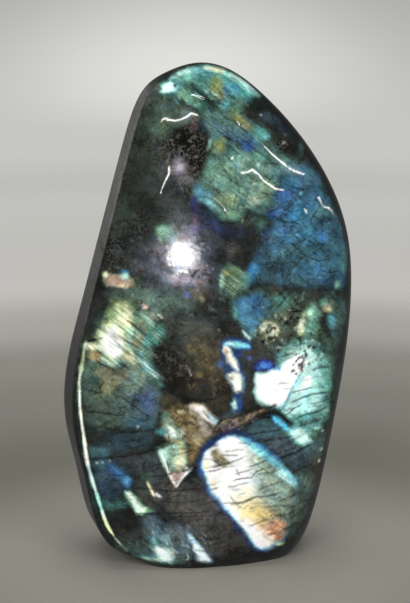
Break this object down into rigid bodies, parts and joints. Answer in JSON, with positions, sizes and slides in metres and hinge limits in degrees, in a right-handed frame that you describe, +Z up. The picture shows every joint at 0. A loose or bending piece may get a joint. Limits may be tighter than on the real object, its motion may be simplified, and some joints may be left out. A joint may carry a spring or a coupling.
{
  "type": "polished labradorite freeform",
  "caption": "Freeform of labradorite, polished all over, standing on a sawn flat base; a low domed face, a flat ground left flank, and bands of blue, green and gold flash.",
  "frame": {"origin": "bottom centre of the stone's box, on the plane of its sawn base", "axes": "+Z up from the base, -Y out of the flashing face, +X to that face's right as it is seen from in front"},
  "size_m": [0.0948, 0.0462, 0.1614],
  "materials": {
    "polished_labradorite": "polished"
  },
  "bodies": {
    "root": {"labradorite_freeform": "polished_labradorite"}
  },
  "joints": []
}
